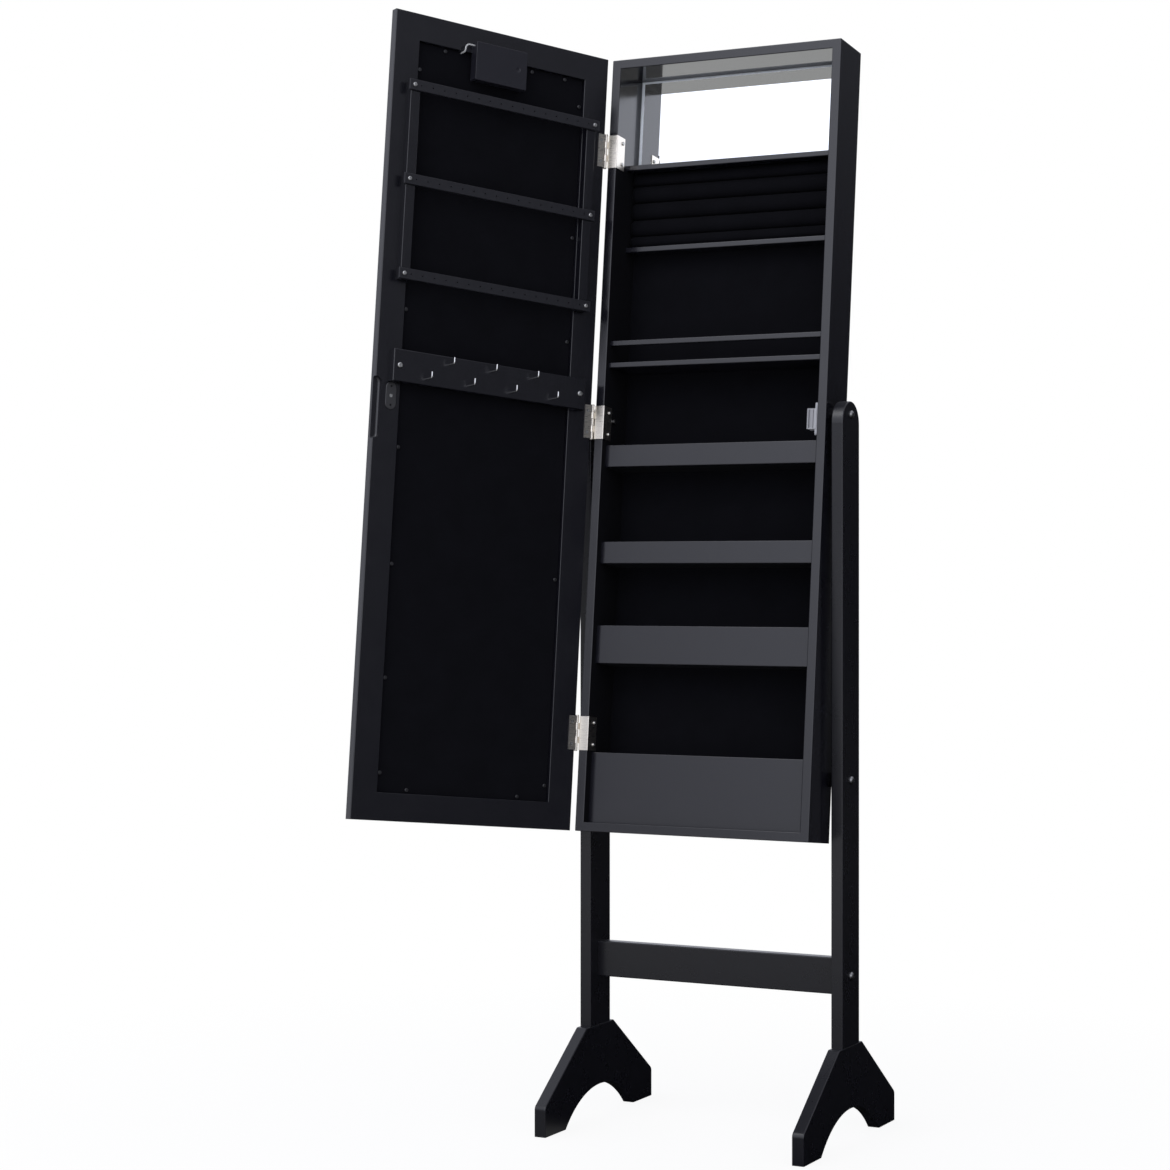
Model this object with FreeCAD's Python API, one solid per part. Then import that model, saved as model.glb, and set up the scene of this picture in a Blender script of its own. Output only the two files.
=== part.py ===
import FreeCAD, Part
import math
import os
from FreeCAD import Rotation, Vector

# Standing jewelry cabinet: a slim cabinet with a mirror door, hung on two pivots between
# the posts of a floor stand. Millimetres. Everything is laid out about the stand: X to the
# right, Y to the back, Z up, with the pivots above X = 0, Y = 0.

# Stand
STAND_BOARD = 16.0
SIDE_GAP = 6.5
POST_DEPTH = 57.0
POST_CROWN = 28.5
PIVOT_HEIGHT = 919.0
CROWN_BELOW_PIVOT = 11.5
FOOT_DEPTH = 314.0
FOOT_HEIGHT = 122.0
FOOT_TOP_DEPTH = 78.0
TOE_HEIGHT = 38.0
ARCH_WIDTH = 198.0
ARCH_HEIGHT = 42.5
STRETCHER_BOTTOM = 186.5
STRETCHER_TALL = 46.5
STOP_ABOVE_END = 78.0
STAND_ROUND = 1.5

# Cabinet, measured from the pivot axis
CABINET_WIDTH = 325.0
CABINET_UP = 482.0
CABINET_DOWN = 540.0
CABINET_FRONT = -29.0
CABINET_DEPTH = 70.0
BOARD = 12.0
BACK_BOARD = 3.0
BACK_RABBET = 6.0
SHELF_BOARD = 7.0
EDGE_ROUND = 1.0

# Shelf undersides, and how far each front edge stands behind the cabinet's front
MIRROR_SHELF_Z = 339.0
MIRROR_SHELF_RECESS = 31.5
RING_BOARD_Z = 230.0
RING_BOARD_RECESS = 41.0
BOTTLE_SHELF_Z = 68.5
BOTTLE_SHELF_RECESS = 8.0
GUARD_Z = 98.0
GUARD_TALL = 7.0
GUARD_THICK = 6.0
GUARD_RECESS = 10.0
TRAY_RECESS = 12.0
UPPER_TRAY_Z = -63.0
MIDDLE_TRAY_SHARE = 0.2673
LOWER_TRAY_SHARE = 0.5419
SHALLOW_FRONT = 29.0
DEEP_FRONT = 50.0
BIN_FRONT = 91.0
BIN_RECESS = 14.0
INNER_MIRROR_THICK = 3.0
MIRROR_BEVEL = 2.3

# Ring pad
PAD_GAP = 0.5
PAD_DEPTH = 19.5
PAD_ROWS = 4
PAD_PITCH = 23.0
PAD_CROWN = 5.0
PAD_SLOT = 1.2
PAD_SLOT_DEEP = 10.0
PAD_END_ROUND = 6.0

# Door, u across from the hinge edge and w outward from the inner face
DOOR_THICK = 12.0
DOOR_GAP = 2.6
OPEN_DEG = 119.1
STILE = 36.0
RAIL = 35.0
LEDGE = 10.0
LEDGE_THICK = 4.0
RECESS = 5.0
BACKING = 3.0
PANE_GAP = 0.3
LIGHT_TALL = 10.0

# Hinges
HINGE_TALL = 44.0
UPPER_HINGE_Z = 357.8
MIDDLE_HINGE_Z = -5.3
HINGE_ABOVE_BIN = 1.5
LEAF = 1.0
FLANGE_DEEP = 22.0
DOOR_LEAF = 9.6
KNUCKLE_R = 2.5
PIN_R = 1.1
PIN_OUT = 2.8
PIN_FORWARD = 1.0
KNUCKLES = 5
KNUCKLE_GAP = 0.5
HINGE_SCREW_Z = 14.2
HINGE_SCREW_DEEP = 15.5
HINGE_SCREW_U = 5.4

# Racks on the door's inner face
BATTEN_WIDE = 14.0
BATTEN_IN = 3.75
BATTEN_THICK = 10.0
BAR_THICK = 3.0
BAR_TALL = 14.0
BAR_END = 17.75
BAR_Z = (385.5, 264.5, 143.5)
BAR_SCREW = 7.5
BAR_HOLES = 16
BAR_HOLE_PITCH = 17.0
BAR_HOLE_R = 0.9
RAIL_END = 18.0
RAIL_THICK = 12.0
RAIL_BOTTOM = 6.5
RAIL_TALL = 41.0
RAIL_SCREW = 9.0
HOOKS = 7
HOOK_PITCH = 31.6
HOOK_R = 1.0
HOOK_REACH = 12.0
HOOK_TIP = 8.0
HOOK_BEND = 2.5
HOOK_SET = 6.0
LOW_HOOK_Z = 15.0
HIGH_HOOK_Z = 37.5

# Finger pull, strike plate and magnetic catch
PULL_Z = (-66.7, 11.5)
PULL_WIDE = 9.0
PULL_DEEP = 6.0
PULL_ROUND = 7.0
PULL_COVE = 2.5
CATCH_IN = 22.8
STRIKE_Z = -10.9
STRIKE_TALL = 34.5
STRIKE_WIDE = 15.0
STRIKE_THICK = 1.2
STRIKE_HOLE = 12.0
CATCH_Z = -8.5
CATCH_TALL = 26.0
CATCH_DEEP = 14.0
CATCH_REACH = 14.0
CATCH_FLANGE = 3.0
CATCH_EAR = 8.0
POLE = 1.0
POLE_CLEAR = 0.2
MAGNET = 5.0

# Battery box on the door's top rail
BOX_U = 135.0
BOX_Z = 410.0
BOX_WIDE = 77.0
BOX_TALL = 50.0
BOX_WALL = 1.2
BOX_INSIDE = 10.7
COVER = 1.3
RUNNER = 1.0
CELL_R = 5.25
CELL_LONG = 44.5
CELL_PITCH = 11.2
CONTACT = 0.5
THUMB_R = 4.0
LEAD_R = 1.05
LEAD_OUT = 6.8
LEAD_BEND = 6.2
LEAD_TURN = 4.1
LEAD_INNER_TURN = 1.6

# Bolts and screws
BOLT_R = 3.0
BOLT_HEAD_R = 5.25
BOLT_HEAD = 3.3
BOLT_SOCKET = 4.0
INSERT_R = 5.0
SPACER_R = 9.0
BUMPER_R = 9.1
BUMPER_LONG = 18.0
BUMPER_CLEAR = 0.35
FIT = 0.05
RUN = 0.08
SCREW_R = 1.2
SCREW_HEAD_R = 2.5
SCREW_HEAD = 1.6
BIG_SCREW_R = 1.75
BIG_HEAD_R = 3.4
BIG_HEAD = 2.0

# Places that follow from the sizes above
HALF = CABINET_WIDTH / 2
POST_IN = HALF + SIDE_GAP
HALF_STAND = POST_IN + STAND_BOARD
INSIDE = HALF - BOARD
REAR = CABINET_FRONT + CABINET_DEPTH
REAR_IN = REAR - BACK_BOARD
CEILING = CABINET_UP - BOARD
FLOOR = BOARD - CABINET_DOWN
DOOR_FACE = CABINET_FRONT - DOOR_GAP
CATCH_U = CABINET_WIDTH - CATCH_IN
TRAY_SPAN = CABINET_DOWN + UPPER_TRAY_Z
MIDDLE_TRAY_Z = UPPER_TRAY_Z - MIDDLE_TRAY_SHARE * TRAY_SPAN
LOWER_TRAY_Z = UPPER_TRAY_Z - LOWER_TRAY_SHARE * TRAY_SPAN
LOWER_HINGE_Z = FLOOR + BIN_FRONT + HINGE_ABOVE_BIN + HINGE_TALL / 2
HINGE_Z = (UPPER_HINGE_Z, MIDDLE_HINGE_Z, LOWER_HINGE_Z)
STOP_DROP = CABINET_DOWN - STOP_ABOVE_END
STOP_HEIGHT = PIVOT_HEIGHT - STOP_DROP
LEAN_DEG = math.degrees(math.asin((REAR + BUMPER_R + BUMPER_CLEAR) / STOP_DROP))
PIN_X = -HALF - PIN_OUT
PIN_Y = DOOR_FACE - PIN_FORWARD
BOX_DEEP = BOX_WALL + BOX_INSIDE + COVER


def block(x0, x1, y0, y1, z0, z1):
    return Part.makeBox(x1 - x0, y1 - y0, z1 - z0, Vector(x0, y0, z0))


def rod(radius, start, end):
    axis = end - start
    return Part.makeCylinder(radius, axis.Length, start, axis)


def door_point(u, w, z):
    return Vector(u - HALF, DOOR_FACE - w, z)


def door_block(u0, u1, w0, w1, z0, z1):
    return block(u0 - HALF, u1 - HALF, DOOR_FACE - w1, DOOR_FACE - w0, z0, z1)


def door_rod(radius, u, w0, w1, z):
    return rod(radius, door_point(u, w0, z), door_point(u, w1, z))


def round_edges(shape, radius, chosen):
    edges = [edge for edge in shape.Edges if chosen(edge)]
    return shape.makeFillet(radius, edges)


def runs_along(edge, axis):
    if not isinstance(edge.Curve, Part.Line):
        return False
    return abs(abs(edge.Curve.Direction.dot(axis)) - 1) < 1e-6


def middle(edge):
    return edge.valueAt((edge.FirstParameter + edge.LastParameter) / 2)


def near(a, b):
    return abs(a - b) < 1e-4


def corner_cut(corner, into_a, into_b, radius, along):
    """The sliver that a rounded arris leaves out, from a corner and its two faces."""
    a = into_a * radius
    b = into_b * radius
    start = corner + a
    end = corner + b
    centre = corner + a + b
    mid = centre + (corner - centre).normalize() * radius
    wire = Part.Wire([
        Part.LineSegment(corner, start).toShape(),
        Part.Arc(start, mid, end).toShape(),
        Part.LineSegment(end, corner).toShape(),
    ])
    return Part.Face(wire).extrude(along)


def bolt_head(base, out):
    """A button head with a hexagon socket, its flat side at base and its dome along out."""
    profile = Part.Wire([
        Part.LineSegment(Vector(0, 0, 0), Vector(BOLT_HEAD_R, 0, 0)).toShape(),
        Part.LineSegment(Vector(BOLT_HEAD_R, 0, 0), Vector(BOLT_HEAD_R, 0, 0.8)).toShape(),
        Part.Arc(
            Vector(BOLT_HEAD_R, 0, 0.8),
            Vector(BOLT_HEAD_R * 0.72, 0, BOLT_HEAD * 0.80),
            Vector(BOLT_HEAD_R * 0.4, 0, BOLT_HEAD),
        ).toShape(),
        Part.LineSegment(Vector(BOLT_HEAD_R * 0.4, 0, BOLT_HEAD), Vector(0, 0, BOLT_HEAD)).toShape(),
        Part.LineSegment(Vector(0, 0, BOLT_HEAD), Vector(0, 0, 0)).toShape(),
    ])
    head = Part.Face(profile).revolve(Vector(0, 0, 0), Vector(0, 0, 1), 360)
    reach = BOLT_SOCKET / math.sqrt(3)
    points = []
    for step in range(7):
        angle = math.radians(60 * step)
        points.append(Vector(reach * math.cos(angle), reach * math.sin(angle), BOLT_HEAD - 2.0))
    socket = Part.Face(Part.makePolygon(points)).extrude(Vector(0, 0, 3))
    head = head.cut(socket)
    head.Placement = FreeCAD.Placement(base, Rotation(Vector(0, 0, 1), out))
    return head


def bolt(base, out, length):
    shank = rod(BOLT_R, base - out * length, base + out * 0.2)
    return bolt_head(base, out).fuse(shank).removeSplitter()


def pan_screw(base, out, length, radius, head_radius, head_tall):
    """A round-topped screw with a cross slot, its head's flat side at base."""
    rise = head_tall * 0.45
    head = Part.makeCylinder(head_radius, head_tall)
    head = round_edges(head, rise, lambda edge: near(middle(edge).z, head_tall))
    arm = head_radius * 0.55
    slot = 0.22 * head_radius
    depth = head_tall * 0.6
    head = head.cut(block(-arm, arm, -slot / 2, slot / 2, head_tall - depth, head_tall + 1))
    head = head.cut(block(-slot / 2, slot / 2, -arm, arm, head_tall - depth, head_tall + 1))
    shank = Part.makeCylinder(radius, length + 0.2, Vector(0, 0, -length))
    screw = head.fuse(shank).removeSplitter()
    screw.Placement = FreeCAD.Placement(base, Rotation(Vector(0, 0, 1), out))
    return screw


def flat_screw(top, out, length):
    """A countersunk screw whose head ends flush with the leaf at top."""
    head = Part.makeCone(SCREW_R, SCREW_HEAD_R * 0.9, LEAF, Vector(0, 0, -LEAF))
    shank = Part.makeCylinder(SCREW_R, length, Vector(0, 0, -LEAF - length))
    screw = head.fuse(shank)
    arm = SCREW_HEAD_R * 0.5
    screw = screw.cut(block(-arm, arm, -0.25, 0.25, -0.6, 1))
    screw = screw.cut(block(-0.25, 0.25, -arm, arm, -0.6, 1)).removeSplitter()
    screw.Placement = FreeCAD.Placement(top, Rotation(Vector(0, 0, 1), out))
    return screw


def side_outline(points, x):
    """A wire in the plane X = x from straight sides and three-point arcs."""
    edges = []
    for item in points:
        spots = [Vector(x, y, z) for y, z in item]
        if len(spots) == 3:
            edges.append(Part.Arc(*spots).toShape())
        else:
            edges.append(Part.LineSegment(*spots).toShape())
    return Part.Wire(edges)


def post(side):
    x = POST_IN if side > 0 else -HALF_STAND
    half = POST_DEPTH / 2
    crown = PIVOT_HEIGHT - CROWN_BELOW_PIVOT
    top = crown + POST_CROWN
    outline = side_outline([
        [(-half, FOOT_HEIGHT), (-half, crown)],
        [(-half, crown), (0, top), (half, crown)],
        [(half, crown), (half, FOOT_HEIGHT)],
        [(half, FOOT_HEIGHT), (-half, FOOT_HEIGHT)],
    ], x)
    board = Part.Face(outline).extrude(Vector(STAND_BOARD, 0, 0))
    board = round_edges(board, STAND_ROUND, lambda edge: (
        middle(edge).z > FOOT_HEIGHT + 1 and not runs_along(edge, Vector(1, 0, 0))))
    for height in (PIVOT_HEIGHT, STOP_HEIGHT, stretcher_middle()):
        board = board.cut(rod(BOLT_R + RUN, Vector(x - 1, 0, height), Vector(x + STAND_BOARD + 1, 0, height)))
    for spot in foot_bolt_spots(side):
        board = board.cut(rod(BOLT_R + FIT, spot, spot + Vector(0, 0, 160)))
    return board


def stretcher_middle():
    return STRETCHER_BOTTOM + STRETCHER_TALL / 2


def foot_bolt_spots(side):
    x = side * (HALF_STAND - STAND_BOARD / 2)
    return [Vector(x, y, 10) for y in (-15.0, 15.0)]


def foot(side):
    x = POST_IN if side > 0 else -HALF_STAND
    end = FOOT_DEPTH / 2
    arch = ARCH_WIDTH / 2
    top = FOOT_TOP_DEPTH / 2
    outline = side_outline([
        [(-end, 0), (-arch, 0)],
        [(-arch, 0), (0, ARCH_HEIGHT), (arch, 0)],
        [(arch, 0), (end, 0)],
        [(end, 0), (end, TOE_HEIGHT)],
        [(end, TOE_HEIGHT), (top, FOOT_HEIGHT)],
        [(top, FOOT_HEIGHT), (-top, FOOT_HEIGHT)],
        [(-top, FOOT_HEIGHT), (-end, TOE_HEIGHT)],
        [(-end, TOE_HEIGHT), (-end, 0)],
    ], x)
    board = Part.Face(outline).extrude(Vector(STAND_BOARD, 0, 0))
    across = Vector(1, 0, 0)
    board = round_edges(board, 8.0, lambda edge: (
        runs_along(edge, across) and near(middle(edge).z, TOE_HEIGHT)))
    board = round_edges(board, 5.0, lambda edge: (
        runs_along(edge, across) and near(middle(edge).z, FOOT_HEIGHT)))
    board = round_edges(board, STAND_ROUND, lambda edge: (
        1 < middle(edge).z < FOOT_HEIGHT - 0.5 and not runs_along(edge, across)))
    for spot in foot_bolt_spots(side):
        head_top = Vector(spot.x, spot.y, foot_bolt_seat())
        board = board.cut(rod(BOLT_HEAD_R + 1, Vector(spot.x, spot.y, 20), head_top))
        board = board.cut(rod(BOLT_R + RUN, head_top, Vector(spot.x, spot.y, FOOT_HEIGHT + 1)))
    return board


def foot_bolt_seat():
    return ARCH_HEIGHT + BOLT_HEAD + 2.0


def foot_bolts():
    solids = []
    for side in (-1, 1):
        for spot in foot_bolt_spots(side):
            seat = Vector(spot.x, spot.y, foot_bolt_seat())
            solids.append(bolt(seat, Vector(0, 0, -1), FOOT_HEIGHT + 38 - foot_bolt_seat()))
    return Part.makeCompound(solids)


def stretcher():
    half = STAND_BOARD / 2
    board = block(-POST_IN, POST_IN, -half, half, STRETCHER_BOTTOM, STRETCHER_BOTTOM + STRETCHER_TALL)
    board = round_edges(board, STAND_ROUND, lambda edge: runs_along(edge, Vector(1, 0, 0)))
    for side in (-1, 1):
        start = Vector(side * (POST_IN + 1), 0, stretcher_middle())
        board = board.cut(rod(BOLT_R + FIT, start, start - Vector(side * 36, 0, 0)))
    return board


def side_bolts(height, length):
    solids = []
    for side in (-1, 1):
        out = Vector(side, 0, 0)
        solids.append(bolt(Vector(side * HALF_STAND, 0, height), out, length))
    return solids


def stop_bumpers():
    solids = []
    for side in (-1, 1):
        start = Vector(side * POST_IN, 0, STOP_HEIGHT)
        end = start - Vector(side * BUMPER_LONG, 0, 0)
        sleeve = rod(BUMPER_R, start, end)
        sleeve = round_edges(sleeve, 1.0, lambda edge: near(middle(edge).x, end.x))
        hole_end = start - Vector(side * (BUMPER_LONG - 2), 0, 0)
        solids.append(sleeve.cut(rod(BOLT_R + FIT, start, hole_end)))
    return Part.makeCompound(solids)


def pivot_spacers():
    solids = []
    for side in (-1, 1):
        start = Vector(side * POST_IN, 0, PIVOT_HEIGHT)
        end = Vector(side * HALF, 0, PIVOT_HEIGHT)
        solids.append(rod(SPACER_R, start, end).cut(rod(BOLT_R + 0.3, start, end)))
    return Part.makeCompound(solids)


def pivot_bolts():
    length = HALF_STAND - INSIDE + 3.0
    solids = []
    for side in (-1, 1):
        solids.append(bolt(Vector(side * HALF_STAND, 0, 0), Vector(side, 0, 0), length))
    return Part.makeCompound(solids)


def pivot_inserts():
    solids = []
    for side in (-1, 1):
        start = Vector(side * HALF, 0, 0)
        end = Vector(side * INSIDE, 0, 0)
        solids.append(rod(INSERT_R, start, end).cut(rod(BOLT_R + FIT, start, end)))
    return Part.makeCompound(solids)


def back_pocket():
    return block(-INSIDE - BACK_RABBET, INSIDE + BACK_RABBET, REAR_IN, REAR + 1,
                 FLOOR - BACK_RABBET, CEILING + BACK_RABBET)


def cabinet_side(side):
    x0 = INSIDE if side > 0 else -HALF
    board = block(x0, x0 + BOARD, CABINET_FRONT, REAR, -CABINET_DOWN, CABINET_UP)
    outer = side * HALF
    board = round_edges(board, EDGE_ROUND, lambda edge: (
        near(middle(edge).x, outer) or (
            runs_along(edge, Vector(1, 0, 0)) and near(middle(edge).y, CABINET_FRONT))))
    inner = Vector(side * INSIDE, CABINET_FRONT, FLOOR)
    board = board.cut(corner_cut(
        inner, Vector(side, 0, 0), Vector(0, 1, 0), EDGE_ROUND, Vector(0, 0, CEILING - FLOOR)))
    board = board.cut(back_pocket())
    hole = rod(INSERT_R + FIT, Vector(side * (INSIDE - 1), 0, 0), Vector(side * (HALF + 1), 0, 0))
    board = board.cut(hole)
    if side < 0:
        for z in HINGE_Z:
            for spot in flange_screw_spots(z):
                board = board.cut(rod(SCREW_R + FIT, spot, spot - Vector(LEAF + 9, 0, 0)))
    else:
        for spot in catch_screw_spots():
            board = board.cut(rod(SCREW_R + FIT, spot, spot + Vector(CATCH_FLANGE + 8, 0, 0)))
    return board


def cabinet_end(z0, inner_z):
    board = block(-INSIDE, INSIDE, CABINET_FRONT, REAR, z0, z0 + BOARD)
    board = round_edges(board, EDGE_ROUND, lambda edge: (
        runs_along(edge, Vector(1, 0, 0)) and (
            near(middle(edge).y, CABINET_FRONT) or not near(middle(edge).z, inner_z))))
    return board.cut(back_pocket())


def back_panel():
    gap = PANE_GAP
    return block(-INSIDE - BACK_RABBET + gap, INSIDE + BACK_RABBET - gap, REAR_IN, REAR,
                 FLOOR - BACK_RABBET + gap, CEILING + BACK_RABBET - gap)


def inner_mirror():
    z0 = MIRROR_SHELF_Z + SHELF_BOARD
    pane = block(-INSIDE + PANE_GAP, INSIDE - PANE_GAP, REAR_IN - INNER_MIRROR_THICK, REAR_IN,
                 z0, CEILING - PANE_GAP)
    front = REAR_IN - INNER_MIRROR_THICK
    edges = [edge for edge in pane.Edges if near(middle(edge).y, front)]
    return pane.makeChamfer(MIRROR_BEVEL, edges)


def shelf(z0, recess):
    board = block(-INSIDE, INSIDE, CABINET_FRONT + recess, REAR_IN, z0, z0 + SHELF_BOARD)
    return round_edges(board, EDGE_ROUND, lambda edge: (
        runs_along(edge, Vector(1, 0, 0)) and near(middle(edge).y, CABINET_FRONT + recess)))


def tray_shelf(z0):
    y0 = CABINET_FRONT + TRAY_RECESS + SHELF_BOARD
    return block(-INSIDE, INSIDE, y0, REAR_IN, z0, z0 + SHELF_BOARD)


def front_board(z0, tall, recess):
    y0 = CABINET_FRONT + recess
    board = block(-INSIDE, INSIDE, y0, y0 + SHELF_BOARD, z0, z0 + tall)
    return round_edges(board, EDGE_ROUND, lambda edge: (
        runs_along(edge, Vector(1, 0, 0)) and (
            near(middle(edge).z, z0 + tall) or near(middle(edge).y, y0)) and
        middle(edge).z > FLOOR + 0.5))


def guard_rail():
    y0 = CABINET_FRONT + GUARD_RECESS
    bar = block(-INSIDE, INSIDE, y0, y0 + GUARD_THICK, GUARD_Z, GUARD_Z + GUARD_TALL)
    return round_edges(bar, EDGE_ROUND, lambda edge: runs_along(edge, Vector(1, 0, 0)))


def ring_pad():
    """Foam rolls side by side under one cover: a crown on each, a slot between each two."""
    low = RING_BOARD_Z + SHELF_BOARD + PAD_GAP
    high = MIRROR_SHELF_Z - PAD_GAP
    rear = REAR_IN - PAD_GAP
    front = rear - PAD_DEPTH
    valley = front + PAD_CROWN
    x = INSIDE - PAD_GAP
    centre = (low + high) / 2
    slots = [centre + (row - (PAD_ROWS - 1) / 2) * PAD_PITCH for row in range(PAD_ROWS)]
    edges = []
    here = (rear, low)
    there = (valley, low)
    edges.append([here, there])
    bottoms = [low] + [slot + PAD_SLOT / 2 for slot in slots]
    tops = [slot - PAD_SLOT / 2 for slot in slots] + [high]
    for bottom, top in zip(bottoms, tops):
        edges.append([(valley, bottom), (front, (bottom + top) / 2), (valley, top)])
        if top < high:
            deep = valley + PAD_SLOT_DEEP
            edges.append([(valley, top), (deep, top)])
            edges.append([(deep, top), (deep, top + PAD_SLOT)])
            edges.append([(deep, top + PAD_SLOT), (valley, top + PAD_SLOT)])
    edges.append([(valley, high), (rear, high)])
    edges.append([(rear, high), (rear, low)])
    pad = Part.Face(side_outline(edges, -x)).extrude(Vector(2 * x, 0, 0))
    for side in (-1, 1):
        corner = Vector(side * x, front, low)
        pad = pad.cut(corner_cut(
            corner, Vector(-side, 0, 0), Vector(0, 1, 0), PAD_END_ROUND, Vector(0, 0, high - low)))
    return pad


def catch_screw_spots():
    ear = CATCH_TALL / 2 + CATCH_EAR / 2
    x = INSIDE - CATCH_FLANGE
    y = CABINET_FRONT + 1 + CATCH_DEEP / 2
    return [Vector(x, y, CATCH_Z + ear), Vector(x, y, CATCH_Z - ear)]


def catch_slot_x():
    centre = INSIDE - CATCH_FLANGE - (CATCH_REACH - CATCH_FLANGE) / 2
    half = MAGNET / 2 + POLE
    return centre - half, centre + half


def catch_body():
    y0 = CABINET_FRONT + 1
    y1 = y0 + CATCH_DEEP
    half = CATCH_TALL / 2
    ear = half + CATCH_EAR
    plate = block(INSIDE - CATCH_FLANGE, INSIDE, y0, y1, CATCH_Z - ear, CATCH_Z + ear)
    plate = round_edges(plate, 3.0, lambda edge: runs_along(edge, Vector(1, 0, 0)))
    body = block(INSIDE - CATCH_REACH, INSIDE - 1, y0 - 0.6, y1, CATCH_Z - half, CATCH_Z + half)
    body = round_edges(body, 1.0, lambda edge: near(middle(edge).x, INSIDE - CATCH_REACH))
    body = plate.fuse(body).removeSplitter()
    low, high = catch_slot_x()
    slot = block(low - FIT, high + FIT, y0 - 2, y1 - 2, CATCH_Z - half + 1.5, CATCH_Z + half - 1.5)
    body = body.cut(slot)
    for spot in catch_screw_spots():
        body = body.cut(rod(SCREW_R + FIT, spot - Vector(1, 0, 0), spot + Vector(5, 0, 0)))
    return body


def catch_magnet():
    low, high = catch_slot_x()
    half = CATCH_TALL / 2 - 1.5
    tip = DOOR_FACE + STRIKE_THICK + POLE_CLEAR
    y1 = CABINET_FRONT + 1 + CATCH_DEEP - 2
    solids = []
    for x0 in (low, high - POLE):
        solids.append(block(x0, x0 + POLE, tip, y1, CATCH_Z - half, CATCH_Z + half))
    solids.append(block(low + POLE, high - POLE, CABINET_FRONT + 1, y1, CATCH_Z - half, CATCH_Z + half))
    return Part.makeCompound(solids)


def flange_screw_spots(z):
    x = -INSIDE + LEAF
    y = CABINET_FRONT + HINGE_SCREW_DEEP
    return [Vector(x, y, z - HINGE_SCREW_Z), Vector(x, y, z + HINGE_SCREW_Z)]


def knuckle_spans(z, first):
    step = (HINGE_TALL + KNUCKLE_GAP) / KNUCKLES
    spans = []
    for index in range(first, KNUCKLES, 2):
        low = z - HINGE_TALL / 2 + index * step
        spans.append((low, low + step - KNUCKLE_GAP))
    return spans


def knuckle(low, high):
    return rod(KNUCKLE_R, Vector(PIN_X, PIN_Y, low), Vector(PIN_X, PIN_Y, high))


def pin_bore(radius, z):
    half = HINGE_TALL / 2 + 1
    return rod(radius, Vector(PIN_X, PIN_Y, z - half), Vector(PIN_X, PIN_Y, z + half))


def cabinet_leaf(z):
    """A leaf that laps the side's front edge and turns back along its inner face."""
    low = z - HINGE_TALL / 2
    high = z + HINGE_TALL / 2
    front = CABINET_FRONT - LEAF
    plate = block(-HALF, -INSIDE + LEAF, front, CABINET_FRONT, low, high)
    flange = block(-INSIDE, -INSIDE + LEAF, front, CABINET_FRONT + FLANGE_DEEP, low, high)
    leaf = plate.fuse(flange).removeSplitter()
    leaf = round_edges(leaf, 0.9, lambda edge: (
        near(middle(edge).x, -INSIDE + LEAF) and near(middle(edge).y, front)))
    left = PIN_X - KNUCKLE_R
    for start, end in knuckle_spans(z, 1):
        neck = block(left, -HALF, front - 0.3, CABINET_FRONT, start, end)
        wrap = block(left, left + LEAF, PIN_Y, CABINET_FRONT, start, end)
        leaf = leaf.fuse([neck, wrap, knuckle(start, end)])
    leaf = leaf.cut(pin_bore(PIN_R + FIT, z))
    for spot in flange_screw_spots(z):
        leaf = leaf.cut(rod(SCREW_R + FIT, spot - Vector(3, 0, 0), spot + Vector(3, 0, 0)))
    return leaf.removeSplitter()


def door_leaf(z):
    low = z - HINGE_TALL / 2
    high = z + HINGE_TALL / 2
    leaf = door_block(0, DOOR_LEAF, -LEAF, 0, low, high)
    for start, end in knuckle_spans(z, 0):
        neck = door_block(PIN_X + HALF, 0.1, -LEAF, 0, start, end)
        leaf = leaf.fuse([neck, knuckle(start, end)])
    leaf = leaf.cut(pin_bore(PIN_R + RUN, z))
    for height in (z - HINGE_SCREW_Z, z + HINGE_SCREW_Z):
        top = door_point(HINGE_SCREW_U, -LEAF, height)
        sink = Part.makeCone(SCREW_HEAD_R * 0.9 + FIT, SCREW_R + FIT, LEAF, top, Vector(0, -1, 0))
        leaf = leaf.cut(sink)
    return leaf.removeSplitter()


def hinge_pin(z):
    half = HINGE_TALL / 2 + 0.2
    pin = rod(PIN_R, Vector(PIN_X, PIN_Y, z - half), Vector(PIN_X, PIN_Y, z + half))
    for end in (-1, 1):
        base = Vector(PIN_X, PIN_Y, z + end * half)
        cap = rod(KNUCKLE_R - 0.3, base, base + Vector(0, 0, end * 1.2))
        tip = base.z + end * 1.2
        cap = round_edges(cap, 0.8, lambda edge: near(middle(edge).z, tip))
        pin = pin.fuse(cap)
    return pin.removeSplitter()


def cabinet_screws():
    """The small screws of the hinge leaves on one side and of the catch on the other."""
    solids = []
    for z in HINGE_Z:
        for spot in flange_screw_spots(z):
            solids.append(pan_screw(spot, Vector(1, 0, 0), LEAF + 9, SCREW_R, SCREW_HEAD_R, SCREW_HEAD))
    for spot in catch_screw_spots():
        solids.append(pan_screw(spot, Vector(-1, 0, 0), LEAF + 9, SCREW_R, SCREW_HEAD_R, SCREW_HEAD))
    return Part.makeCompound(solids)


def hinge_door_screws():
    solids = []
    for z in HINGE_Z:
        for height in (z - HINGE_SCREW_Z, z + HINGE_SCREW_Z):
            solids.append(flat_screw(door_point(HINGE_SCREW_U, -LEAF, height), Vector(0, 1, 0), 8))
    return Part.makeCompound(solids)


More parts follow.
